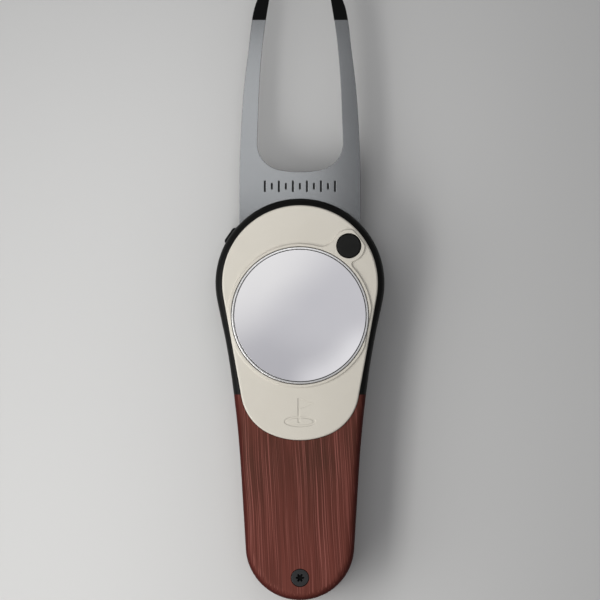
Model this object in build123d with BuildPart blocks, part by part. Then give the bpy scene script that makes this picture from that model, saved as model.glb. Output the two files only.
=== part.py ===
from build123d import *
import math
import os

# Folding divot repair tool: a spring-driven two-pronged fork swings out of a
# slim handle, which also carries a magnetic ball marker in its head.
# Frame: origin on the flat back face, on the fork's pivot axis. +Z comes out
# of the front face, +Y points from the handle towards the prongs, +X is to the
# right as seen from the front. All sizes are in millimetres.

os.makedirs("parts", exist_ok=True)

# ---------------------------------------------------------------- layers (Z)
back_t = 4.4          # back bolster and back scale
liner_t = 0.8         # steel liners
washer_t = 0.2        # pivot washers
fork_t = 1.8          # fork plate
front_t = 3.8         # front bolster and front scale
z_back_liner = back_t
z_gap = z_back_liner + liner_t                # floor of the fork's slot
z_fork = z_gap + washer_t
z_fork_top = z_fork + fork_t
z_front_liner = z_fork_top + washer_t
z_front = z_front_liner + liner_t
z_rim = z_front + front_t                     # top of bolster and scale
gap_t = z_front_liner - z_gap
edge_r = 1.7          # rounding of the handle's outer edges

# ---------------------------------------------------------------- handle
head_y = -3.82        # centre of the round head
head_r = 15.4
bolster_y = -24.1     # joint between bolster and wooden scale
grip_y = -38.6        # lower end of the waist's curve
grip_x = 10.70
end_y = -51.65        # centre of the round tail
end_r = 9.9
tail_angle = 3.4      # lean of the grip's straight sides, degrees
flank_angle = 11.0    # lean of the head's flanks where they leave the circle
lug_turn = 145.5      # direction of the thumb lug from the head's centre
lug_out = 15.82       # how far out it reaches from there
lug_x = (lug_out - 0.9) * math.cos(math.radians(lug_turn))
lug_y = head_y + (lug_out - 0.9) * math.sin(math.radians(lug_turn))
lug_z = 2.2

# ---------------------------------------------------------------- face plate
plate_r = 14.16
plate_t = 1.2
plate_depth = 0.9     # depth of its pocket
plate_gap = 0.05      # play between plate and pocket
plate_edge = 0.3
plate_end = -32.4
plate_corner_r = 9.0
plate_lean = 10.4
z_pocket = z_rim - plate_depth
z_plate = z_pocket + plate_t
lip_r = 13.0          # top of the raised lip round the marker
cap_ring_r = 2.88     # top of the raised ring round the button
# the lip stands on a soft foot of three slopes: spread, rise, angle
lip_steps = [(0.26, 0.07, 60), (0.14, 0.09, 40), (0.065, 0.16, 20)]
z_boss = z_plate + sum(rise for spread, rise, angle in lip_steps)
emblem_depth = 0.10

# ---------------------------------------------------------------- marker
marker_y = -9.73
marker_r = 12.46
seat_r = 12.6
z_seat = z_pocket + 0.4
marker_edge_t = 1.14
insert_r = 12.1
insert_gap = 0.12     # narrow groove between the rim and the domed face
z_insert = z_seat + 0.7
z_dome_edge = z_seat + 1.14
dome_h = 0.15
magnet_r = 4.0
magnet_t = 1.5
magnet_gap = 0.05
z_magnet = z_pocket - magnet_t - magnet_gap

# ---------------------------------------------------------------- button
button_x = 8.88
button_y = 2.96
cap_r = 2.15
cap_hole_r = 2.3
neck_r = 1.1
neck_play = 0.1
neck_socket = 1.4       # depth of the neck's socket in the cap
spring_bore_r = 1.75
collar_r = 2.3
collar_hole_r = 2.4
z_collar_top = 6.3    # released height
z_collar_base = 2.6
z_button_floor = 1.0
z_cap = 10.1
z_cap_top = z_boss - 0.06

# ---------------------------------------------------------------- pivot
barrel_r = 2.2
z_barrel = 0.8          # floor of the barrel's seat
barrel_reach = 1.5      # how far it stands into the front bolster
bush_in_r = 2.25
bush_r = 3.0
washer_r = 4.6
pivot_thread_r = 1.0
pivot_head_r = 2.4
pivot_head_t = 0.8
z_pivot_head = z_front + 2.0
spring_pocket_r = 6.4
z_spring_floor = 1.1
peg_at = 5.5          # radius of the spring peg's path
peg_r = 0.6
peg_play = 0.08
z_peg = 2.6
wire_r = 0.4
coil_r = 4.1
coil_rise = 1.9
coil_z = z_spring_floor + wire_r + 0.25
# the upper leg leaves the coil where it just touches the outside of the peg
leg_high = -90 - math.degrees(math.acos((coil_r + wire_r + peg_r + 0.02) / peg_at))
coil_turns = 1 + (leg_high % 360) / 360

# ---------------------------------------------------------------- fork
fork_x = 11.06        # half width of its root
shoulder_y = 5.5
tang_r = 8.0
tang_hub_r = 6.9
tang_step = 1.0       # the rim is thinned by this much from behind
notch_r = 2.45
slot_bottom_y = 16.45
slot_corner_r = 4.9
tip_y = 50.9
tail_clear_r = 52.0   # the folded prongs stay inside this radius
tick_y = 13.85        # row of engraved ticks
tick_pitch = 1.28
tick_w = 0.3
tick_long = 2.0
tick_short = 1.1
tick_depth = 0.12

# ---------------------------------------------------------------- fasteners
screw_y = -57.45
screw_head_r = 1.54
screw_shank_r = 0.8
screw_head_t = 1.0
lobe_at = 0.58        # six-lobe recess
lobe_r = 0.21
screw_sink = 0.05       # heads lie this far below the surface
screw_head_gap = 0.12   # play round a scale screw's head
screw_cone = 40         # half angle of its head, degrees
screw_length = 5.4
lobe_depth = 0.6
small_head_r = 1.4
small_shank_r = 0.7
small_head_t = 0.7
small_head_gap = 0.05
small_cone = 45
small_front_length = 3.6
small_back_length = 5.05
hex_r = 0.55            # hex recess of the small screws
hex_depth = 0.45
pin_r = 0.6             # dowel pins of the spine
pin_length = 6.4
z_pin = 3.2


# ---------------------------------------------------------------- outlines
def lean(angle):
    """Direction of a right-hand side that closes in towards -Y."""
    return (-math.sin(math.radians(angle)), -math.cos(math.radians(angle)))


def on_circle(radius, centre_y, angle):
    """Point on a circle's right side where a side of that lean leaves it."""
    a = math.radians(angle)
    return (radius * math.cos(a), centre_y - radius * math.sin(a))


# the handle's outline: round head, curved waist, straight grip, round tail
head_pt = on_circle(head_r, head_y, flank_angle)
tail_pt = on_circle(end_r, end_y, tail_angle)
with BuildSketch() as handle_outline:
    with BuildLine():
        ThreePointArc((0, head_y + head_r), (head_r, head_y), head_pt)
        Spline(
            head_pt,
            (13.70, -13.45),
            (12.05, -24.0),
            (11.32, -30.5),
            (grip_x, grip_y),
            tangents=(lean(flank_angle), lean(tail_angle)),
        )
        Line((grip_x, grip_y), tail_pt)
        ThreePointArc(
            tail_pt,
            (end_r * math.sin(math.radians(45)), end_y - end_r * math.cos(math.radians(45))),
            (0, end_y - end_r),
        )
        Line((0, end_y - end_r), (0, head_y + head_r))
    make_face()
    mirror(about=Plane.YZ)

# the face plate's outline, a smaller copy of the head with a rounded lower end
plate_pt = on_circle(plate_r, head_y, plate_lean)
plate_low = (10.02, -28.0)
with BuildSketch() as plate_outline:
    with BuildLine():
        ThreePointArc(
            (-plate_pt[0], plate_pt[1]), (0, head_y + plate_r), plate_pt
        )
        Line(plate_pt, plate_low)
        ThreePointArc(plate_low, (0, plate_end), (-plate_low[0], plate_low[1]))
        Line((-plate_low[0], plate_low[1]), (-plate_pt[0], plate_pt[1]))
    make_face()
    fillet(plate_outline.vertices().sort_by(Axis.Y)[:2], plate_corner_r)

with BuildSketch() as pocket_outline:
    add(plate_outline.sketch)
    offset(amount=plate_gap)

# the top of the raised lip, with its ring round the button
with BuildSketch() as boss_outline:
    with Locations((0, marker_y)):
        Circle(lip_r)
    with Locations((button_x, button_y)):
        Circle(cap_ring_r)
    fillet(boss_outline.vertices().sort_by(Axis.X)[-1], 0.7)
    fillet(boss_outline.vertices().filter_by(lambda v: v.Y > 0).sort_by(Axis.X)[0], 2.6)

# the six-lobe drive recess
with BuildSketch() as lobes:
    Circle(lobe_at - 0.08)
    with PolarLocations(lobe_at, 6):
        Circle(lobe_r)

pin_spots = [(13.3, -1.6), (12.75, -12.5)]

# ---------------------------------------------------------------- back half
small_back = [(-8.9, 4.0), (-8.0, -17.6), (8.0, -17.6)]
small_front = [(-9.2, 4.4), (-8.4, -19.2), (8.4, -19.2)]
scale_top_screw = (0, -28.2)

with BuildPart() as back_bolster:
    with BuildSketch(Plane.XY) as s:
        add(handle_outline.sketch)
    extrude(amount=back_t)
    fillet(back_bolster.faces().sort_by(Axis.Z)[0].edges(), edge_r)
    # keep the head only
    with BuildSketch(Plane.XY.offset(-1)) as s:
        with Locations((0, bolster_y - 25)):
            Rectangle(60, 50)
    extrude(amount=back_t + 2, mode=Mode.SUBTRACT)
    # low thumb lug at the upper left shoulder
    with BuildSketch(Plane.XY.offset(lug_z)) as s:
        with Locations(Location((lug_x, lug_y, 0), (0, 0, lug_turn))):
            RectangleRounded(1.8, 3.4, 0.6)
    extrude(amount=back_t - lug_z)
    # pocket of the torsion spring, with a slot for its fixed leg
    with BuildSketch(Plane.XY.offset(z_spring_floor)) as s:
        Circle(spring_pocket_r)
        with Locations((coil_r, -5.0)):
            Rectangle(2 * wire_r + 0.1, 2.6)
    extrude(amount=back_t, mode=Mode.SUBTRACT)
    # seat of the pivot barrel
    with BuildSketch(Plane.XY.offset(z_barrel)) as s:
        Circle(barrel_r)
    extrude(amount=1, mode=Mode.SUBTRACT)
    # blind guide hole of the lock plunger
    with BuildSketch(Plane.XY.offset(z_button_floor)) as s:
        with Locations((button_x, button_y)):
            Circle(collar_hole_r)
    extrude(amount=back_t, mode=Mode.SUBTRACT)
    # blind holes of the dowel pins
    with BuildSketch(Plane.XY.offset(z_pin)) as s:
        with Locations(*pin_spots):
            Circle(pin_r)
    extrude(amount=back_t, mode=Mode.SUBTRACT)
    # countersunk screw holes
    with BuildSketch(Plane.XY) as s:
        with Locations(*small_back):
            Circle(small_shank_r)
    extrude(amount=back_t, mode=Mode.SUBTRACT)
    with BuildSketch(Plane.XY) as s:
        with Locations(*small_back):
            Circle(small_head_r + small_head_gap)
    extrude(amount=small_head_t + small_head_gap, taper=small_cone, mode=Mode.SUBTRACT)

with BuildPart() as back_scale:
    with BuildSketch(Plane.XY) as s:
        add(handle_outline.sketch)
    extrude(amount=back_t)
    fillet(back_scale.faces().sort_by(Axis.Z)[0].edges(), edge_r)
    # keep the grip only
    with BuildSketch(Plane.XY.offset(-1)) as s:
        with Locations((0, bolster_y + 25)):
            Rectangle(60, 50)
    extrude(amount=back_t + 2, mode=Mode.SUBTRACT)
    with BuildSketch(Plane.XY) as s:
        with Locations((0, screw_y)):
            Circle(screw_shank_r)
        with Locations(scale_top_screw):
            Circle(small_shank_r)
    extrude(amount=back_t, mode=Mode.SUBTRACT)
    with BuildSketch(Plane.XY) as s:
        with Locations((0, screw_y)):
            Circle(screw_head_r + screw_head_gap)
    extrude(amount=screw_head_t, taper=screw_cone, mode=Mode.SUBTRACT)
    with BuildSketch(Plane.XY) as s:
        with Locations(scale_top_screw):
            Circle(small_head_r + small_head_gap)
    extrude(amount=small_head_t + small_head_gap, taper=small_cone, mode=Mode.SUBTRACT)

# ---------------------------------------------------------------- liners
with BuildPart() as back_liner:
    with BuildSketch(Plane.XY.offset(z_back_liner)) as s:
        add(handle_outline.sketch)
        Circle(barrel_r, mode=Mode.SUBTRACT)
        with Locations((button_x, button_y)):
            Circle(collar_hole_r, mode=Mode.SUBTRACT)
        with Locations((0, screw_y)):
            Circle(screw_shank_r, mode=Mode.SUBTRACT)
        with Locations(*small_back, scale_top_screw):
            Circle(small_shank_r, mode=Mode.SUBTRACT)
        with Locations(*pin_spots):
            Circle(pin_r, mode=Mode.SUBTRACT)
    extrude(amount=liner_t)
    # half-circle slot: its ends stop the spring peg at open and at folded
    with BuildSketch(Plane.XY.offset(z_back_liner)) as s:
        with BuildLine():
            outer = CenterArc((0, 0), peg_at + peg_r + peg_play, -90, 180)
            inner = CenterArc((0, 0), peg_at - peg_r - peg_play, -90, 180)
            Line(outer @ 0, inner @ 0)
            Line(outer @ 1, inner @ 1)
        make_face()
        with Locations((0, peg_at), (0, -peg_at)):
            Circle(peg_r + peg_play)
    extrude(amount=liner_t, mode=Mode.SUBTRACT)

with BuildPart() as front_liner:
    with BuildSketch(Plane.XY.offset(z_front_liner)) as s:
        add(handle_outline.sketch)
        Circle(barrel_r, mode=Mode.SUBTRACT)
        with Locations((button_x, button_y)):
            Circle(neck_r + neck_play, mode=Mode.SUBTRACT)
        with Locations((0, screw_y)):
            Circle(screw_shank_r, mode=Mode.SUBTRACT)
        with Locations(*small_front, scale_top_screw):
            Circle(small_shank_r, mode=Mode.SUBTRACT)
        with Locations(*pin_spots):
            Circle(pin_r, mode=Mode.SUBTRACT)
    extrude(amount=liner_t)

# ---------------------------------------------------------------- spacers
with BuildPart() as spine_spacer:
    with BuildSketch(Plane.XY.offset(z_gap)) as s:
        add(handle_outline.sketch)
        with Locations((11.3, -9.0)):
            Rectangle(6, 26.4, align=(Align.MIN, Align.CENTER), mode=Mode.INTERSECT)
        with Locations(*pin_spots):
            Circle(pin_r, mode=Mode.SUBTRACT)
    extrude(amount=gap_t)

with BuildPart() as spine_pins:
    with BuildSketch(Plane.XY.offset(z_pin)) as s:
        with Locations(*pin_spots):
            Circle(pin_r)
    extrude(amount=pin_length)

with BuildPart() as end_spacer:
    with BuildSketch(Plane.XY.offset(z_gap)) as s:
        add(handle_outline.sketch)
        Circle(tail_clear_r, mode=Mode.SUBTRACT)
        with Locations((0, 0)):
            Rectangle(80, 80, mode=Mode.SUBTRACT)
        with Locations((0, screw_y)):
            Circle(screw_shank_r, mode=Mode.SUBTRACT)
    extrude(amount=gap_t)

# ---------------------------------------------------------------- front half
with BuildPart() as front_bolster:
    with BuildSketch(Plane.XY.offset(z_front)) as s:
        add(handle_outline.sketch)
    extrude(amount=front_t)
    fillet(front_bolster.faces().sort_by(Axis.Z)[-1].edges(), edge_r)
    with BuildSketch(Plane.XY.offset(z_front - 1)) as s:
        with Locations((0, bolster_y - 25)):
            Rectangle(60, 50)
    extrude(amount=front_t + 2, mode=Mode.SUBTRACT)
    # pocket of the face plate
    with BuildSketch(Plane.XY.offset(z_pocket)) as s:
        add(pocket_outline.sketch)
    extrude(amount=3, mode=Mode.SUBTRACT)
    # magnet seat
    with BuildSketch(Plane.XY.offset(z_magnet)) as s:
        with Locations((0, marker_y)):
            Circle(magnet_r + magnet_gap)
    extrude(amount=3, mode=Mode.SUBTRACT)
    # pivot: barrel hole, screw hole and head counterbore
    with BuildSketch(Plane.XY.offset(z_front)) as s:
        Circle(barrel_r)
    extrude(amount=barrel_reach, mode=Mode.SUBTRACT)
    with BuildSketch(Plane.XY.offset(z_front)) as s:
        Circle(pivot_thread_r)
    extrude(amount=front_t, mode=Mode.SUBTRACT)
    with BuildSketch(Plane.XY.offset(z_pivot_head)) as s:
        Circle(pivot_head_r + 0.1)
    extrude(amount=3, mode=Mode.SUBTRACT)
    # button: guide hole for the neck, wide hole for the cap
    with BuildSketch(Plane.XY.offset(z_front)) as s:
        with Locations((button_x, button_y)):
            Circle(neck_r + neck_play)
    extrude(amount=front_t, mode=Mode.SUBTRACT)
    with BuildSketch(Plane.XY.offset(z_cap - 0.4)) as s:
        with Locations((button_x, button_y)):
            Circle(cap_hole_r)
    extrude(amount=4, mode=Mode.SUBTRACT)
    with BuildSketch(Plane.XY.offset(z_front)) as s:
        with Locations(*pin_spots):
            Circle(pin_r)
    extrude(amount=z_pin + pin_length - z_front, mode=Mode.SUBTRACT)
    with BuildSketch(Plane.XY.offset(z_front)) as s:
        with Locations(*small_front):
            Circle(small_shank_r)
    extrude(amount=front_t, mode=Mode.SUBTRACT)
    with BuildSketch(Plane.XY.offset(z_pocket)) as s:
        with Locations(*small_front):
            Circle(small_head_r + small_head_gap)
    extrude(amount=-small_head_t - small_head_gap, taper=small_cone, mode=Mode.SUBTRACT)

with BuildPart() as front_scale:
    with BuildSketch(Plane.XY.offset(z_front)) as s:
        add(handle_outline.sketch)
    extrude(amount=front_t)
    fillet(front_scale.faces().sort_by(Axis.Z)[-1].edges(), edge_r)
    with BuildSketch(Plane.XY.offset(z_front - 1)) as s:
        with Locations((0, bolster_y + 25)):
            Rectangle(60, 50)
    extrude(amount=front_t + 2, mode=Mode.SUBTRACT)
    with BuildSketch(Plane.XY.offset(z_pocket)) as s:
        add(pocket_outline.sketch)
    extrude(amount=3, mode=Mode.SUBTRACT)
    with BuildSketch(Plane.XY.offset(z_front)) as s:
        with Locations((0, screw_y)):
            Circle(screw_shank_r)
        with Locations(scale_top_screw):
            Circle(small_shank_r)
    extrude(amount=front_t, mode=Mode.SUBTRACT)
    with BuildSketch(Plane.XY.offset(z_rim)) as s:
        with Locations((0, screw_y)):
            Circle(screw_head_r + screw_head_gap)
    extrude(amount=-screw_head_t, taper=screw_cone, mode=Mode.SUBTRACT)
    with BuildSketch(Plane.XY.offset(z_pocket)) as s:
        with Locations(scale_top_screw):
            Circle(small_head_r + small_head_gap)
    extrude(amount=-small_head_t - small_head_gap, taper=small_cone, mode=Mode.SUBTRACT)

# ---------------------------------------------------------------- face plate
with BuildPart() as face_plate:
    with BuildSketch(Plane.XY.offset(z_pocket + 0.01)) as s:
        add(plate_outline.sketch)
    extrude(amount=plate_t - 0.01)
    fillet(face_plate.faces().sort_by(Axis.Z)[-1].edges(), plate_edge)
    # raised lip round the marker, running into a ring round the button
    z_step = z_plate
    for spread, rise, angle in lip_steps:
        with BuildSketch(Plane.XY.offset(z_step)) as layer:
            add(boss_outline.sketch)
            offset(amount=spread)
            with BuildSketch(mode=Mode.INTERSECT) as limit:
                add(plate_outline.sketch)
                offset(amount=spread - lip_steps[0][0] - plate_edge - 0.05)
        extrude(amount=rise, taper=angle)
        z_step = z_step + rise
    # marker seat and button hole
    with BuildSketch(Plane.XY.offset(z_seat)) as s:
        with Locations((0, marker_y)):
            Circle(seat_r)
    extrude(amount=3, mode=Mode.SUBTRACT)
    with BuildSketch(Plane.XY.offset(z_pocket - 1)) as s:
        with Locations((button_x, button_y)):
            Circle(cap_hole_r)
    extrude(amount=4, mode=Mode.SUBTRACT)
    # shallow emblem below the marker: a flag on its pole over a green
    with BuildSketch(Plane.XY.offset(z_plate - emblem_depth)) as emblem:
        with Locations((0, -29.0)):
            Ellipse(2.9, 1.0)
            Ellipse(2.35, 0.6, mode=Mode.SUBTRACT)
        with Locations((-0.2, -27.0)):
            Rectangle(0.4, 4.4)
        with BuildLine():
            Polyline((0.0, -24.8), (2.5, -25.75), (0.0, -26.7), (0.0, -24.8))
        make_face()
    extrude(amount=1, mode=Mode.SUBTRACT)

# ---------------------------------------------------------------- ball marker
with BuildPart() as marker_disc:
    with BuildSketch(Plane.XY.offset(z_seat + 0.02)) as s:
        with Locations((0, marker_y)):
            Circle(marker_r)
    extrude(amount=marker_edge_t)
    fillet(marker_disc.faces().sort_by(Axis.Z)[-1].edges(), 0.12)
    fillet(marker_disc.faces().sort_by(Axis.Z)[0].edges(), 0.2)
    # shallow tray for the domed face
    with BuildSketch(Plane.XY.offset(z_insert)) as s:
        with Locations((0, marker_y)):
            Circle(insert_r)
    extrude(amount=2, mode=Mode.SUBTRACT)

with BuildPart() as marker_insert:
    with BuildSketch(Plane.XZ.offset(-marker_y)) as s:
        with BuildLine():
            Line((0, z_insert), (insert_r - insert_gap, z_insert))
            Line((insert_r - insert_gap, z_insert), (insert_r - insert_gap, z_dome_edge))
            dome = TangentArc(
                (0, z_dome_edge + dome_h), (insert_r - insert_gap, z_dome_edge), tangent=(1, 0)
            )
            Line(dome @ 0, (0, z_insert))
        make_face()
    revolve(axis=Axis((0, marker_y, 0), (0, 0, 1)))

with BuildPart() as marker_magnet:
    with BuildSketch(Plane.XY.offset(z_magnet)) as s:
        with Locations((0, marker_y)):
            Circle(magnet_r)
    extrude(amount=magnet_t)
    chamfer(marker_magnet.edges().filter_by(GeomType.CIRCLE), 0.15)

# ---------------------------------------------------------------- button
with BuildPart() as release_button:
    with BuildSketch(Plane.XY.offset(z_cap)) as s:
        with Locations((button_x, button_y)):
            Circle(cap_r)
    extrude(amount=z_cap_top - z_cap)
    fillet(release_button.faces().sort_by(Axis.Z)[-1].edges(), 0.2)
    # socket for the plunger's neck
    with BuildSketch(Plane.XY.offset(z_cap)) as s:
        with Locations((button_x, button_y)):
            Circle(neck_r)
    extrude(amount=neck_socket, mode=Mode.SUBTRACT)

with BuildPart() as lock_plunger:
    with BuildSketch(Plane.XY.offset(z_collar_base)) as s:
        with Locations((button_x, button_y)):
            Circle(collar_r)
    extrude(amount=z_collar_top - z_collar_base)
    chamfer(lock_plunger.faces().sort_by(Axis.Z)[-1].edges(), 0.15)
    with BuildSketch(Plane.XY.offset(z_collar_top - 0.5)) as s:
        with Locations((button_x, button_y)):
            Circle(neck_r)
    extrude(amount=z_cap + neck_socket - z_collar_top + 0.5)
    # bore that holds the button's spring
    with BuildSketch(Plane.XY.offset(z_collar_base)) as s:
        with Locations((button_x, button_y)):
            Circle(spring_bore_r)
    extrude(amount=2.2, mode=Mode.SUBTRACT)

with BuildPart() as button_spring:
    with BuildLine() as path:
        coil = Helix(
            pitch=0.84, height=3.36, radius=1.4, center=(button_x, button_y, z_button_floor + 0.22)
        )
    with BuildSketch(Plane(origin=coil @ 0, z_dir=coil % 0)) as s:
        Circle(0.18)
    sweep(path=coil, is_frenet=True)

# ---------------------------------------------------------------- pivot
with BuildPart() as pivot_barrel:
    with BuildSketch(Plane.XY.offset(z_barrel)) as s:
        Circle(barrel_r)
    extrude(amount=z_front + barrel_reach - z_barrel)
    # thread of the pivot screw
    with BuildSketch(Plane.XY.offset(z_gap)) as s:
        Circle(pivot_thread_r)
    extrude(amount=z_front + barrel_reach - z_gap, mode=Mode.SUBTRACT)

with BuildPart() as pivot_screw:
    with BuildSketch(Plane.XY.offset(z_pivot_head)) as s:
        Circle(pivot_head_r)
    extrude(amount=pivot_head_t)
    chamfer(pivot_screw.faces().sort_by(Axis.Z)[-1].edges(), 0.15)
    with BuildSketch(Plane.XY.offset(z_gap + 0.4)) as s:
        Circle(pivot_thread_r)
    extrude(amount=z_pivot_head - z_gap - 0.4)
    with BuildSketch(Plane.XY.offset(z_pivot_head + 0.3)) as s:
        add(lobes.sketch)
    extrude(amount=1, mode=Mode.SUBTRACT)

with BuildPart() as back_washer:
    with BuildSketch(Plane.XY.offset(z_gap)) as s:
        Circle(washer_r)
        Circle(barrel_r, mode=Mode.SUBTRACT)
    extrude(amount=washer_t)

with BuildPart() as front_washer:
    with BuildSketch(Plane.XY.offset(z_fork_top)) as s:
        Circle(washer_r)
        Circle(barrel_r, mode=Mode.SUBTRACT)
    extrude(amount=washer_t)

# torsion spring: a coil round the barrel with tangent legs, the lower one held
# in the bolster's slot and the upper one bearing on the fork's peg
with BuildPart() as torsion_spring:
    with BuildLine(Plane.XY.offset(coil_z)) as path:
        coil = Helix(pitch=coil_rise / coil_turns, height=coil_rise, radius=coil_r)
    with BuildSketch(Plane(origin=coil @ 0, z_dir=coil % 0)) as s:
        Circle(wire_r)
    sweep(path=coil, is_frenet=True)
    with BuildSketch(Plane(origin=coil @ 0, z_dir=(coil % 0) * -1)) as s:
        Circle(wire_r)
    extrude(amount=5.8)
    with BuildSketch(Plane(origin=coil @ 1, z_dir=coil % 1)) as s:
        Circle(wire_r)
    extrude(amount=3.2)

# ---------------------------------------------------------------- fork
with BuildPart() as fork:
    with BuildSketch(Plane.XY.offset(z_fork)) as blade:
        # right half of the outer edge, mirrored
        with BuildLine():
            Polyline((0, shoulder_y), (fork_x, shoulder_y), (fork_x, 14.0))
            Spline(
                (fork_x, 14.0),
                (10.76, 24.0),
                (10.09, 33.1),
                (9.2, 40.4),
                (7.9, 47.6),
                tangents=((0, 1), (-0.42, 1)),
            )
            ThreePointArc((7.9, 47.6), (7.35, 49.3), (6.6, tip_y))
            Line((6.6, tip_y), (0, tip_y))
            Line((0, tip_y), (0, shoulder_y))
        make_face()
        mirror(about=Plane.YZ)
        Circle(tang_r)
        # lock notches at open and at folded
        with Locations((button_x, button_y), (-button_x, -button_y)):
            Circle(notch_r, mode=Mode.SUBTRACT)
        Circle(bush_r, mode=Mode.SUBTRACT)
        with Locations((0, -peg_at)):
            Circle(peg_r, mode=Mode.SUBTRACT)
    extrude(amount=fork_t)
    # gap between the prongs
    with BuildSketch(Plane.XY.offset(z_fork)) as gap:
        with BuildLine():
            ThreePointArc((-7.95, 18.2), (0, slot_bottom_y), (7.95, 18.2))
            Line((7.95, 18.2), (7.67, 25.8))
            Spline((7.67, 25.8), (7.37, 33.1), (6.75, 40.4), (5.68, 47.6), (4.95, 51.5))
            Line((4.95, 51.5), (-4.95, 51.5))
            Spline(
                (-4.95, 51.5), (-5.68, 47.6), (-6.75, 40.4), (-7.37, 33.1), (-7.67, 25.8)
            )
            Line((-7.67, 25.8), (-7.95, 18.2))
        make_face()
        fillet(gap.vertices().group_by(Axis.Y)[0], slot_corner_r)
    extrude(amount=fork_t, mode=Mode.SUBTRACT)
    # a row of plain engraved ticks above the head
    with BuildSketch(Plane.XY.offset(z_fork_top - tick_depth)) as s:
        with Locations((0, tick_y)):
            with GridLocations(2 * tick_pitch, 0, 6, 1):
                Rectangle(tick_w, tick_long)
            with GridLocations(2 * tick_pitch, 0, 5, 1):
                Rectangle(tick_w, tick_short)
    extrude(amount=1, mode=Mode.SUBTRACT)
    # the tang's rim is thinned so that the released collar passes behind it
    with BuildSketch(Plane.XY.offset(z_fork)) as rim:
        Circle(tang_r + 1)
        Circle(tang_hub_r, mode=Mode.SUBTRACT)
        with Locations((0, shoulder_y)):
            Rectangle(40, 20, align=(Align.CENTER, Align.MIN), mode=Mode.SUBTRACT)
    extrude(amount=tang_step, mode=Mode.SUBTRACT)

with BuildPart() as fork_bushing:
    with BuildSketch(Plane.XY.offset(z_fork)) as s:
        Circle(bush_r)
        Circle(bush_in_r, mode=Mode.SUBTRACT)
    extrude(amount=fork_t)

with BuildPart() as spring_peg:
    with BuildSketch(Plane.XY.offset(z_peg)) as s:
        with Locations((0, -peg_at)):
            Circle(peg_r)
    extrude(amount=z_fork_top - z_peg)
    chamfer(spring_peg.faces().sort_by(Axis.Z)[0].edges(), 0.15)

# ---------------------------------------------------------------- fasteners
with BuildPart() as scale_screws:
    with BuildSketch(Plane.XY.offset(z_rim - screw_sink)) as s:
        with Locations((0, screw_y)):
            Circle(screw_head_r)
    extrude(amount=-screw_head_t, taper=screw_cone)
    with BuildSketch(Plane.XY.offset(z_rim - screw_sink)) as s:
        with Locations((0, screw_y)):
            Circle(screw_shank_r)
    extrude(amount=-screw_length)
    with BuildSketch(Plane.XY.offset(z_rim - screw_sink)) as s:
        with Locations((0, screw_y)):
            add(lobes.sketch)
    extrude(amount=-lobe_depth, mode=Mode.SUBTRACT)
    # the same screw from the back
    mirror(about=Plane.XY.offset(z_rim / 2))

with BuildPart() as front_liner_screws:
    with BuildSketch(Plane.XY.offset(z_pocket - screw_sink)) as s:
        with Locations(*small_front, scale_top_screw):
            Circle(small_head_r)
    extrude(amount=-small_head_t, taper=small_cone)
    with BuildSketch(Plane.XY.offset(z_pocket - screw_sink)) as s:
        with Locations(*small_front, scale_top_screw):
            Circle(small_shank_r)
    extrude(amount=-small_front_length)
    with BuildSketch(Plane.XY.offset(z_pocket - screw_sink)) as s:
        with Locations(*small_front, scale_top_screw):
            RegularPolygon(hex_r, 6)
    extrude(amount=-hex_depth, mode=Mode.SUBTRACT)

with BuildPart() as back_liner_screws:
    with BuildSketch(Plane.XY.offset(screw_sink)) as s:
        with Locations(*small_back, scale_top_screw):
            Circle(small_head_r)
    extrude(amount=small_head_t, taper=small_cone)
    with BuildSketch(Plane.XY.offset(screw_sink)) as s:
        with Locations(*small_back, scale_top_screw):
            Circle(small_shank_r)
    extrude(amount=small_back_length)
    with BuildSketch(Plane.XY.offset(screw_sink)) as s:
        with Locations(*small_back, scale_top_screw):
            RegularPolygon(hex_r, 6)
    extrude(amount=hex_depth, mode=Mode.SUBTRACT)

# ---------------------------------------------------------------- export
back_bolster.part.label = "back_bolster"
export_step(back_bolster.part, "parts/back_bolster.step")
back_scale.part.label = "back_scale"
export_step(back_scale.part, "parts/back_scale.step")
back_liner.part.label = "back_liner"
export_step(back_liner.part, "parts/back_liner.step")
front_liner.part.label = "front_liner"
export_step(front_liner.part, "parts/front_liner.step")
spine_spacer.part.label = "spine_spacer"
export_step(spine_spacer.part, "parts/spine_spacer.step")
spine_pins.part.label = "spine_pins"
export_step(spine_pins.part, "parts/spine_pins.step")
end_spacer.part.label = "end_spacer"
export_step(end_spacer.part, "parts/end_spacer.step")
front_bolster.part.label = "front_bolster"
export_step(front_bolster.part, "parts/front_bolster.step")
front_scale.part.label = "front_scale"
export_step(front_scale.part, "parts/front_scale.step")
face_plate.part.label = "face_plate"
export_step(face_plate.part, "parts/face_plate.step")
marker_disc.part.label = "marker_disc"
export_step(marker_disc.part, "parts/marker_disc.step")
marker_insert.part.label = "marker_insert"
export_step(marker_insert.part, "parts/marker_insert.step")
marker_magnet.part.label = "marker_magnet"
export_step(marker_magnet.part, "parts/marker_magnet.step")
release_button.part.label = "release_button"
export_step(release_button.part, "parts/release_button.step")
lock_plunger.part.label = "lock_plunger"
export_step(lock_plunger.part, "parts/lock_plunger.step")
button_spring.part.label = "button_spring"
export_step(button_spring.part, "parts/button_spring.step")
pivot_barrel.part.label = "pivot_barrel"
export_step(pivot_barrel.part, "parts/pivot_barrel.step")
pivot_screw.part.label = "pivot_screw"
export_step(pivot_screw.part, "parts/pivot_screw.step")
back_washer.part.label = "back_washer"
export_step(back_washer.part, "parts/back_washer.step")
front_washer.part.label = "front_washer"
export_step(front_washer.part, "parts/front_washer.step")
torsion_spring.part.label = "torsion_spring"
export_step(torsion_spring.part, "parts/torsion_spring.step")
fork.part.label = "fork"
export_step(fork.part, "parts/fork.step")
fork_bushing.part.label = "fork_bushing"
export_step(fork_bushing.part, "parts/fork_bushing.step")
spring_peg.part.label = "spring_peg"
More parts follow.
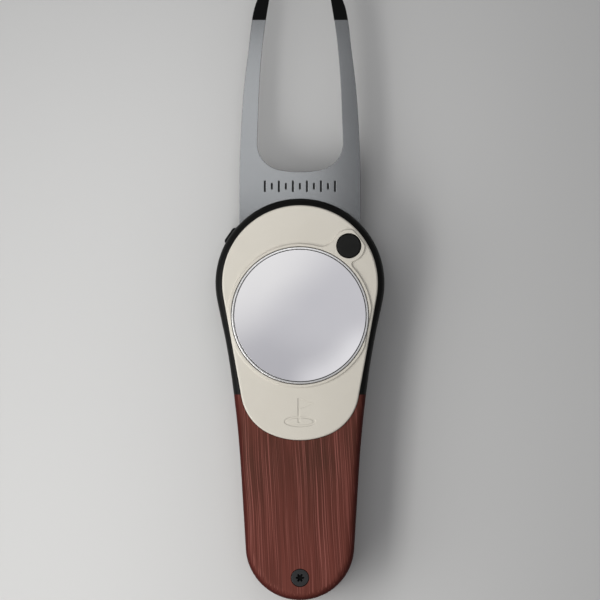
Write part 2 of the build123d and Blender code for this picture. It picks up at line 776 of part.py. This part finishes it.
export_step(spring_peg.part, "parts/spring_peg.step")
scale_screws.part.label = "scale_screws"
export_step(scale_screws.part, "parts/scale_screws.step")
front_liner_screws.part.label = "front_liner_screws"
export_step(front_liner_screws.part, "parts/front_liner_screws.step")
back_liner_screws.part.label = "back_liner_screws"
export_step(back_liner_screws.part, "parts/back_liner_screws.step")
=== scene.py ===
import math

import bpy
from mathutils import Matrix, Vector


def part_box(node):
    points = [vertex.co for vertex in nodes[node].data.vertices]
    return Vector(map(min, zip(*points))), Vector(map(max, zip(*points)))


# Looks of the folding divot repair tool, lying on its back on a pale floor.
# Row frame in metres: origin on the back face under the fork's pivot, +Y to the
# prongs, +Z out of the front.
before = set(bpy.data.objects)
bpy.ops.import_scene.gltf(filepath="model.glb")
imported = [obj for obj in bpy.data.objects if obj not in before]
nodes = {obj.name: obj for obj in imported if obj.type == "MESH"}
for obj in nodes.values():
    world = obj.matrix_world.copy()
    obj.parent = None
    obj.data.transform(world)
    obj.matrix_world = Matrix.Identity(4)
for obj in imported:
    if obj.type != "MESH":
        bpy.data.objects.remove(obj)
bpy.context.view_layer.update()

# places on the tool, as x and y
marker_at = (0.0, -0.00973)
tail_screw_at = (0.0, -0.05745)
# the ticks engraved in the fork are filled black between these two heights; then
# the first and last y of their row, and how far it reaches to each side
fill_bottom_z = 0.00702
fill_top_z = 0.00715
tick_first_y = 0.0126
tick_last_y = 0.0151
tick_reach_x = 0.0071
# the prongs are coated black from here on
coated_from_y = 0.0442
# the marker's domed face is dull and painted darker from the first radius on, its
# rim is painted dark within the second: together a thin groove line of painted shade
dome_groove_shade_r = 0.01194
rim_groove_shade_r = 0.01212
# the tail screws: z halfway between their faces, how far from there a recess is
# still painted black as shade, its radius, and the radius of the painted shade on the wood round the
# heads
halfway_z = 0.006
recess_shade_within = 0.00589
recess_shade_r = 0.00085
countersink_shade_r = 0.00168
# the wood turns from brown to red between these two y
red_below_y = -0.052
brown_above_y = -0.036
# a noise value rarely leaves this range
NOISE_LOW = 0.3
NOISE_HIGH = 0.7


# ------------------------------------------------------------ node helpers
class Nodes:
    """A node tree, extended by short calls. A value is a socket or a constant."""

    def __init__(self, tree):
        self.tree = tree

    def add(self, kind):
        return self.tree.nodes.new(kind)

    def put(self, socket, value):
        """Links the value to the socket, or sets it there."""
        if isinstance(value, bpy.types.NodeSocket):
            self.tree.links.new(value, socket)
        else:
            socket.default_value = value

    def math(self, kind, a, b=0.0):
        n = self.add("ShaderNodeMath")
        n.operation = kind
        self.put(n.inputs[0], a)
        self.put(n.inputs[1], b)
        return n.outputs[0]

    def product(self, first, *others):
        for other in others:
            first = self.math("MULTIPLY", first, other)
        return first

    def vector_math(self, kind, *values):
        """Outputs are named Vector and Value; which one counts depends on the kind."""
        n = self.add("ShaderNodeVectorMath")
        n.operation = kind
        for socket, value in zip(n.inputs, values):
            self.put(socket, value)
        return n.outputs

    def span(self, fac, low, high, to_low=0.0, to_high=1.0, course="LINEAR"):
        """Maps fac from low..high to to_low..to_high, clamped."""
        n = self.add("ShaderNodeMapRange")
        n.interpolation_type = course
        self.put(n.inputs["Value"], fac)
        n.inputs["From Min"].default_value = low
        n.inputs["From Max"].default_value = high
        n.inputs["To Min"].default_value = to_low
        n.inputs["To Max"].default_value = to_high
        return n.outputs[0]

    def over(self, fac, edge, soft):
        """1 above the edge, 0 below it."""
        return self.span(fac, edge - soft, edge + soft)

    def under(self, fac, edge, soft):
        """1 below the edge, 0 above it."""
        return self.span(fac, edge - soft, edge + soft, 1.0, 0.0)

    def mix(self, fac, a, b, kind="MIX"):
        n = self.add("ShaderNodeMix")
        n.data_type = "RGBA"
        n.blend_type = kind
        n.clamp_factor = True
        self.put(n.inputs[0], fac)
        for socket, value in ((n.inputs[6], a), (n.inputs[7], b)):
            self.put(socket, value if isinstance(value, bpy.types.NodeSocket) else (*value, 1))
        return n.outputs[2]

    def ramp(self, fac, *stops):
        """Each stop is a position and a colour."""
        n = self.add("ShaderNodeValToRGB")
        self.put(n.inputs[0], fac)
        elements = n.color_ramp.elements
        while len(elements) < len(stops):
            elements.new(0.5)
        for element, (position, colour) in zip(elements, stops):
            element.position = position
            element.color = (*colour, 1)
        return n.outputs[0]


class Mat(Nodes):
    """A material with a Principled shader, put on the named nodes of the row."""

    def __init__(self, name, *targets):
        self.material = bpy.data.materials.new(name)
        self.material.use_nodes = True
        super().__init__(self.material.node_tree)
        self.tree.nodes.clear()
        out = self.add("ShaderNodeOutputMaterial")
        self.principled = self.add("ShaderNodeBsdfPrincipled")
        self.put(out.inputs[0], self.principled.outputs[0])
        self.pos = self.add("ShaderNodeTexCoord").outputs["Object"]
        for target in targets:
            slots = nodes[target].data.materials
            slots.clear()
            slots.append(self.material)

    def shader(self, **values):
        """Inputs of the Principled shader, named with _ for each space."""
        for name, value in values.items():
            self.put(self.principled.inputs[name.replace("_", " ")], value)

    def mapped(self, scale, turn=0.0, source=None):
        """Turns about Z first, then stretches along the turned axes."""
        turned_pos = self.add("ShaderNodeMapping")
        self.put(turned_pos.inputs["Vector"], source or self.pos)
        turned_pos.inputs["Rotation"].default_value = (0, 0, turn)
        stretched = self.add("ShaderNodeMapping")
        self.put(stretched.inputs["Vector"], turned_pos.outputs[0])
        stretched.inputs["Scale"].default_value = scale
        return stretched.outputs[0]

    def noise_node(self, scale, detail, rough, distortion, source):
        n = self.add("ShaderNodeTexNoise")
        self.put(n.inputs["Vector"], source or self.pos)
        n.inputs["Scale"].default_value = scale
        n.inputs["Detail"].default_value = detail
        n.inputs["Roughness"].default_value = rough
        n.inputs["Distortion"].default_value = distortion
        return n

    def noise(self, scale, detail=3.0, rough=0.5, distortion=0.0, source=None):
        return self.noise_node(scale, detail, rough, distortion, source).outputs["Fac"]

    def warped(self, scale, amount):
        """Position pushed sideways by a slow noise."""
        slow = self.noise_node(scale, 1.0, 0.5, 0.0, None)
        return self.vector_math("MULTIPLY_ADD", slow.outputs["Color"], amount, self.pos)["Vector"]

    def vary(self, fac, low, high):
        """A number between low and high that follows a noise."""
        return self.span(fac, NOISE_LOW, NOISE_HIGH, low, high)

    def tint(self, fac, dark, light):
        """A colour between dark and light that follows a noise."""
        return self.ramp(fac, (NOISE_LOW, dark), (NOISE_HIGH, light))

    def distance(self, x, y):
        """Distance from an upright line at x, y."""
        flat = self.vector_math("SUBTRACT", self.mapped((1, 1, 0)), (x, y, 0))["Vector"]
        return self.vector_math("LENGTH", flat)["Value"]

    def part_of(self, vector, letter):
        n = self.add("ShaderNodeSeparateXYZ")
        self.put(n.inputs[0], vector)
        return n.outputs[letter]

    def axis(self, letter):
        return self.part_of(self.pos, letter)

    def normal(self):
        return self.add("ShaderNodeNewGeometry").outputs["Normal"]

    def soft_edges(self, radius):
        n = self.add("ShaderNodeBevel")
        n.samples = 6
        n.inputs["Radius"].default_value = radius
        return n.outputs[0]

    def edge_mask(self, radius):
        """1 along convex and concave edges, 0 on faces."""
        alike = self.vector_math("DOT_PRODUCT", self.soft_edges(radius), self.normal())["Value"]
        return self.span(alike, 0.98, 0.75)

    def bump(self, height, distance, strength, normal=None):
        n = self.add("ShaderNodeBump")
        self.put(n.inputs["Height"], height)
        n.inputs["Distance"].default_value = distance
        n.inputs["Strength"].default_value = strength
        if normal is not None:
            self.put(n.inputs["Normal"], normal)
        return n.outputs[0]


# ------------------------------------------------------------ materials
# grey satin steel of the fork, with dark coated tips
fork = Mat("fork_satin_steel", "fork")
cloud = fork.noise(90, 4, 0.55)
grit = fork.noise(9000, 2, 0.6)
steel = fork.tint(cloud, (0.134, 0.139, 0.143), (0.146, 0.151, 0.155))
# painted highlight: the fork's edges are mixed to a lighter grey
steel = fork.mix(fork.edge_mask(0.00012), steel, (0.42, 0.43, 0.44))
# black fill of the engraved ticks, and the black coated tips
ink = fork.product(
    fork.over(fork.axis("Y"), tick_first_y, 0.0001),
    fork.under(fork.axis("Y"), tick_last_y, 0.0001),
    fork.under(fork.math("ABSOLUTE", fork.axis("X")), tick_reach_x, 0.0001),
    fork.over(fork.axis("Z"), fill_bottom_z, 0.00002),
    fork.under(fork.axis("Z"), fill_top_z, 0.00002),
)
tips = fork.over(fork.axis("Y"), coated_from_y, 0.00005)
dark = fork.math("MAXIMUM", ink, tips)
sheen = fork.math("ADD", fork.vary(cloud, 0.215, 0.24), fork.vary(grit, -0.02, 0.02))
fork.shader(
    Base_Color=fork.mix(dark, steel, (0.004, 0.0042, 0.0042)),
    Metallic=fork.math("SUBTRACT", 1.0, dark),
    Roughness=fork.math("MAXIMUM", sheen, fork.product(dark, 0.6)),
    Specular_IOR_Level=0.04,
    Normal=fork.bump(grit, 0.000004, 0.5, fork.soft_edges(0.00015)),
)

# black coated metal of the bolsters
black = Mat("black_coated_metal", "front_bolster", "back_bolster")
peel = black.noise(5200, 3, 0.6)
haze = black.noise(140, 4, 0.6)
worn = black.product(black.edge_mask(0.00012), black.span(haze, 0.45, 0.7, 0.0, 0.7))
black.shader(
    Base_Color=black.mix(worn, (0.0032, 0.0032, 0.0029), (0.02, 0.02, 0.019)),
    Roughness=black.vary(haze, 0.38, 0.5),
    Specular_IOR_Level=0.12,
    Normal=black.bump(peel, 0.000006, 0.5, black.soft_edges(0.00012)),
)

# cream coated face plate
cream = Mat("cream_coated_plate", "face_plate")
peel = cream.noise(4200, 3, 0.6)
haze = cream.noise(120, 4, 0.6)
base = cream.tint(haze, (0.565, 0.533, 0.466), (0.592, 0.560, 0.493))
# the edges are lighter: partly a rubbed coat, partly a painted highlight
rub_and_highlight = cream.product(cream.edge_mask(0.00012), cream.span(haze, 0.35, 0.65, 0.2, 0.6))
cream.shader(
    Base_Color=cream.mix(rub_and_highlight, base, (0.66, 0.64, 0.58)),
    Roughness=cream.vary(peel, 0.36, 0.48),
    Normal=cream.bump(peel, 0.000007, 0.5, cream.soft_edges(0.00012)),
)

# satin polished face of the ball marker, dull where it ends, and darker there as painted shade of
# the groove
silver = Mat("marker_satin_face", "marker_insert")
haze = silver.noise(70, 3, 0.5)
grit = silver.noise(12000, 2, 0.5)
satin = silver.math("ADD", silver.vary(haze, 0.044, 0.054), silver.vary(grit, -0.005, 0.005))
pearl = silver.tint(haze, (0.80, 0.795, 0.81), (0.83, 0.825, 0.835))
groove_shade_on_face = silver.over(silver.distance(*marker_at), dome_groove_shade_r, 0.00003)
silver.shader(
    Base_Color=silver.mix(groove_shade_on_face, pearl, (0.30, 0.30, 0.30)),
    Metallic=1.0,
    Roughness=silver.math("MAXIMUM", satin, silver.product(groove_shade_on_face, 0.5)),
    Normal=silver.soft_edges(0.0001),
)

# bright rim of the marker, with painted shade in the groove round the face
rim = Mat("marker_rim", "marker_disc")
grit = rim.noise(6000, 2, 0.5)
bright = rim.tint(rim.noise(200), (0.70, 0.695, 0.69), (0.78, 0.775, 0.77))
groove_shade_on_rim = rim.under(rim.distance(*marker_at), rim_groove_shade_r, 0.00002)
rim.shader(
    Base_Color=rim.mix(groove_shade_on_rim, bright, (0.09, 0.09, 0.09)),
    Metallic=1.0,
    Roughness=rim.math("MAXIMUM", rim.vary(grit, 0.24, 0.32), rim.product(groove_shade_on_rim, 0.6)),
    Normal=rim.soft_edges(0.00005),
)

# dark red-brown wood with long thin lighter streaks, leaning a little
wood = Mat("dark_red_wood", "front_scale", "back_scale")
path = wood.warped(38, (0.0022, 0, 0))
lean = math.radians(-3.2)
fibre = wood.noise(4600, 4, 0.6, 0.0, wood.mapped((1, 0.012, 0.35), lean, path))
band = wood.noise(430, 3, 0.55, 0.3, wood.mapped((1, 0.06, 0.35), lean, path))
fine = wood.noise(9400, 1, 0.4, 0.0, wood.mapped((1, 0.0050, 0.3), lean, path))
streak = wood.noise(8800, 1, 0.4, 0.0, wood.mapped((1, 0.0038, 0.3), lean, path))
cloud = wood.noise(110, 3, 0.5, 0.0, wood.mapped((1, 0.4, 1), lean, path))
base = wood.ramp(
    fibre,
    (NOISE_LOW, (0.078, 0.0232, 0.0172)),
    (0.50, (0.109, 0.0318, 0.0240)),
    (NOISE_HIGH, (0.139, 0.0408, 0.0312)),
)
base = wood.mix(wood.span(band, 0.40, 0.66, 0.0, 0.4), base, (0.131, 0.0355, 0.0268))
# browner near the plate, redder towards the tail
upper = wood.span(wood.axis("Y"), red_below_y, brown_above_y)
brown = wood.product(wood.span(cloud, 0.38, 0.62, 0.1, 0.75), upper)
base = wood.mix(brown, base, (0.056, 0.0238, 0.0160))
base = wood.mix(wood.span(fine, 0.40, 0.30, 0.0, 0.35), base, (0.048, 0.0156, 0.0122))
base = wood.mix(wood.span(fine, 0.60, 0.67, 0.0, 0.45), base, (0.192, 0.061, 0.048))
base = wood.mix(wood.span(streak, 0.61, 0.67, 0.0, 0.75), base, (0.270, 0.094, 0.078))
# painted shade: the rounded edge, turning away from the light, is darker and a deeper red
level = wood.math("ABSOLUTE", wood.part_of(wood.normal(), "Z"))
base = wood.mix(wood.span(level, 0.98, 0.62, 0.0, 0.85), base, (0.044, 0.0048, 0.0036))
# painted shade round the countersunk hole
painted_countersink_shade = wood.under(wood.distance(*tail_screw_at), countersink_shade_r, 0.00002)
base = wood.mix(painted_countersink_shade, base, (0.008, 0.004, 0.003))
wood.shader(
    Base_Color=base,
    Roughness=wood.vary(fibre, 0.50, 0.62),
    Specular_IOR_Level=0.05,
    Normal=wood.bump(fibre, 0.00003, 0.6, wood.soft_edges(0.0001)),
)

# matte black button
button = Mat("matte_black_button", "release_button")
peel = button.noise(6000, 3, 0.6)
haze = button.noise(300, 3, 0.6)
button.shader(
    Base_Color=button.tint(haze, (0.0062, 0.0062, 0.0058), (0.0086, 0.0086, 0.0080)),
    Roughness=button.vary(peel, 0.48, 0.6),
    Specular_IOR_Level=0.13,
    Normal=button.bump(peel, 0.000008, 0.5, button.soft_edges(0.0001)),
)

# black oxide screws, with painted shade in the recesses of the two at the tail
oxide = Mat("black_oxide_screw", "scale_screws", "front_liner_screws", "back_liner_screws")
haze = oxide.noise(700, 4, 0.6)
grit = oxide.noise(7000, 2, 0.5)
worn = oxide.product(oxide.edge_mask(0.00008), oxide.span(haze, 0.4, 0.6, 0.2, 0.8))
from_halfway = oxide.math("ABSOLUTE", oxide.math("SUBTRACT", oxide.axis("Z"), halfway_z))
# painted shade: the recesses of the two tail screws are black
painted_recess_shade = oxide.product(
    oxide.under(from_halfway, recess_shade_within, 0.00003),
    oxide.under(oxide.distance(*tail_screw_at), recess_shade_r, 0.00003),
)
blackened = oxide.mix(worn, (0.040, 0.040, 0.041), (0.13, 0.13, 0.135))
oxide.shader(
    Base_Color=oxide.mix(painted_recess_shade, blackened, (0.002, 0.002, 0.002)),
    Metallic=oxide.span(painted_recess_shade, 0.0, 1.0, 0.85, 0.0),
    Roughness=oxide.vary(grit, 0.38, 0.5),
    Specular_IOR_Level=0.08,
    Normal=oxide.bump(grit, 0.000005, 0.5, oxide.soft_edges(0.00006)),
)

# brushed steel of liners, lines running along the tool
brush = Mat("brushed_steel_liner", "back_liner", "front_liner")
lines = brush.noise(9000, 3, 0.6, 0.0, brush.mapped((1, 0.02, 1)))
haze = brush.noise(100, 3, 0.5)
brush.shader(
    Base_Color=brush.tint(haze, (0.50, 0.505, 0.51), (0.58, 0.585, 0.59)),
    Metallic=1.0,
    Roughness=brush.vary(lines, 0.30, 0.44),
    Normal=brush.bump(lines, 0.000004, 0.5, brush.soft_edges(0.00008)),
)

# matte black spacers
spacer = Mat("black_spacer_plastic", "spine_spacer", "end_spacer")
peel = spacer.noise(3500, 3, 0.6)
spacer.shader(
    Base_Color=spacer.tint(spacer.noise(200), (0.016, 0.016, 0.016), (0.024, 0.024, 0.024)),
    Roughness=spacer.vary(peel, 0.5, 0.65),
    Normal=spacer.bump(peel, 0.00001, 0.5),
)

# turned steel of the hidden hardware
turned = Mat(
    "turned_steel", "spine_pins", "pivot_barrel", "pivot_screw", "spring_peg", "lock_plunger"
)
grit = turned.noise(4500, 3, 0.5, 0.0, turned.mapped((1, 1, 4)))
turned.shader(
    Base_Color=turned.tint(turned.noise(250), (0.52, 0.52, 0.525), (0.60, 0.60, 0.605)),
    Metallic=1.0,
    Roughness=turned.vary(grit, 0.24, 0.36),
    Normal=turned.bump(grit, 0.000003, 0.5, turned.soft_edges(0.00006)),
)

# bearing bronze
bronze = Mat("bearing_bronze", "fork_bushing", "back_washer", "front_washer")
haze = bronze.noise(350, 4, 0.6)
bronze.shader(
    Base_Color=bronze.tint(haze, (0.42, 0.26, 0.10), (0.56, 0.37, 0.16)),
    Metallic=1.0,
    Roughness=bronze.vary(haze, 0.28, 0.42),
    Normal=bronze.bump(bronze.noise(5000, 2), 0.000003, 0.5),
)

# drawn spring wire
wire = Mat("spring_wire", "torsion_spring", "button_spring")
drawn = wire.noise(5000, 3, 0.6, 0.0, wire.mapped((1, 1, 3)))
wire.shader(
    Base_Color=wire.tint(drawn, (0.30, 0.30, 0.31), (0.42, 0.42, 0.43)),
    Metallic=1.0,
    Roughness=wire.vary(drawn, 0.28, 0.42),
    Normal=wire.bump(drawn, 0.000003, 0.5),
)

# nickel plated magnet
nickel = Mat("nickel_plate", "marker_magnet")
haze = nickel.noise(400, 4, 0.6)
nickel.shader(
    Base_Color=nickel.tint(haze, (0.66, 0.64, 0.60), (0.74, 0.72, 0.68)),
    Metallic=1.0,
    Roughness=nickel.vary(haze, 0.14, 0.26),
    Normal=nickel.soft_edges(0.0001),
)

# ------------------------------------------------------------ floor
# a hair below the tool, so that the two faces never share a plane
floor_z = -0.00003
bpy.ops.mesh.primitive_plane_add(size=6, location=(0, 0, floor_z))
floor = bpy.context.object
floor.name = "floor"
pale = Mat("pale_floor")
pale.shader(
    Base_Color=pale.tint(pale.noise(3, 2), (0.56, 0.56, 0.555), (0.58, 0.58, 0.575)),
    Roughness=0.9,
)
floor.data.materials.append(pale.material)

# ------------------------------------------------------------ light
# The sky is bright overhead and dimmer at the horizon. Near the zenith it holds a
# broad glow to the upper left, a faint shade to the lower left and a narrow
# bright band to the lower right, which polished level faces mirror.
world = bpy.data.worlds.new("studio")
bpy.context.scene.world = world
world.use_nodes = True
background = world.node_tree.nodes["Background"]
sky = Nodes(world.node_tree)
way = sky.add("ShaderNodeTexCoord").outputs["Generated"]


def lean_to(x, y, z=0.0):
    """How far the view direction leans towards a direction."""
    return sky.vector_math("DOT_PRODUCT", way, (x, y, z))["Value"]


def compass(degrees):
    """Level direction, counted from +X towards +Y."""
    return math.cos(math.radians(degrees)), math.sin(math.radians(degrees))


def rise(fac, low, high):
    """Rises smoothly from 0 at low to 1 at high."""
    return sky.span(fac, low, high, course="SMOOTHSTEP")


up = lean_to(0, 0, 1)
dome_levels = ((0.0, 0.24), (0.55, 0.33), (0.93, 0.38), (0.98, 0.43), (1.0, 0.62))
dome = sky.ramp(up, *((height, (level, level, level * 1.02)) for height, level in dome_levels))

# distance from the zenith, as the sine of the angle
off = sky.math("SQRT", sky.math("SUBTRACT", 1.0, sky.product(up, up)))
glow = rise(lean_to(*compass(131)), 0.0, 0.047)
shade = rise(lean_to(*compass(258)), 0.008, 0.048)
heading = sky.math("DIVIDE", lean_to(*compass(306)), sky.math("MAXIMUM", off, 0.0001))
band = sky.product(rise(off, 0.0415, 0.0495), rise(heading, 0.66, 0.97))
zenith = sky.mix(glow, (0.64, 0.637, 0.666), (0.28, 0.277, 0.246), "ADD")
zenith = sky.mix(shade, zenith, (0.11, 0.11, 0.11), "SUBTRACT")
zenith = sky.mix(band, zenith, (0.34, 0.34, 0.33), "ADD")
sky.put(background.inputs["Color"], sky.mix(rise(up, 0.988, 0.995), dome, zenith))
background.inputs["Strength"].default_value = 1.0


def softbox(name, at, aim, width, height, power, colour=(1, 1, 1)):
    """A soft lamp at a point, facing the aim; its height runs along the tool."""
    data = bpy.data.lights.new(name, "AREA")
    data.shape = "RECTANGLE"
    data.size = width
    data.size_y = height
    data.energy = power
    data.color = colour
    lamp = bpy.data.objects.new(name, data)
    bpy.context.scene.collection.objects.link(lamp)
    lamp.location = at
    back = (Vector(at) - Vector(aim)).normalized()
    along = Vector((0, 1, 0))
    along = (along - back * along.dot(back)).normalized()
    side = along.cross(back)
    lamp.rotation_euler = Matrix((side, along, back)).transposed().to_euler()
    lamp.visible_camera = False


softbox("key_left", (-0.20, -0.06, 0.14), (0, -0.03, 0.01), 0.16, 0.22, 0.26, (1.0, 0.995, 0.98))
softbox("near_left", (-0.055, -0.07, 0.095), (0, -0.045, 0.01), 0.03, 0.13, 0.066, (1.0, 0.99, 0.97))
# hangs over the left half of the fork, beyond what the marker mirrors
softbox("fork_gloss", (-0.0205, 0.0265, 0.070), (-0.0205, 0.0265, 0.0), 0.052, 0.037, 0.0123)

# ------------------------------------------------------------ camera
# square above the front, from far away; the picture spans view_size at the plate
view_size = 0.1091
view_y = -0.0069
reach = 1.5
sensor = 36
camera_data = bpy.data.cameras.new("camera")
camera_data.sensor_width = sensor
camera_data.lens = sensor * reach / view_size
camera_data.clip_start = 0.01
camera_data.clip_end = 20
camera = bpy.data.objects.new("camera", camera_data)
bpy.context.scene.collection.objects.link(camera)
camera.location = (0, view_y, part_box("face_plate")[1].z + reach)
camera.rotation_euler = (0, 0, 0)
bpy.context.scene.camera = camera
bpy.context.scene.view_settings.view_transform = "Standard"
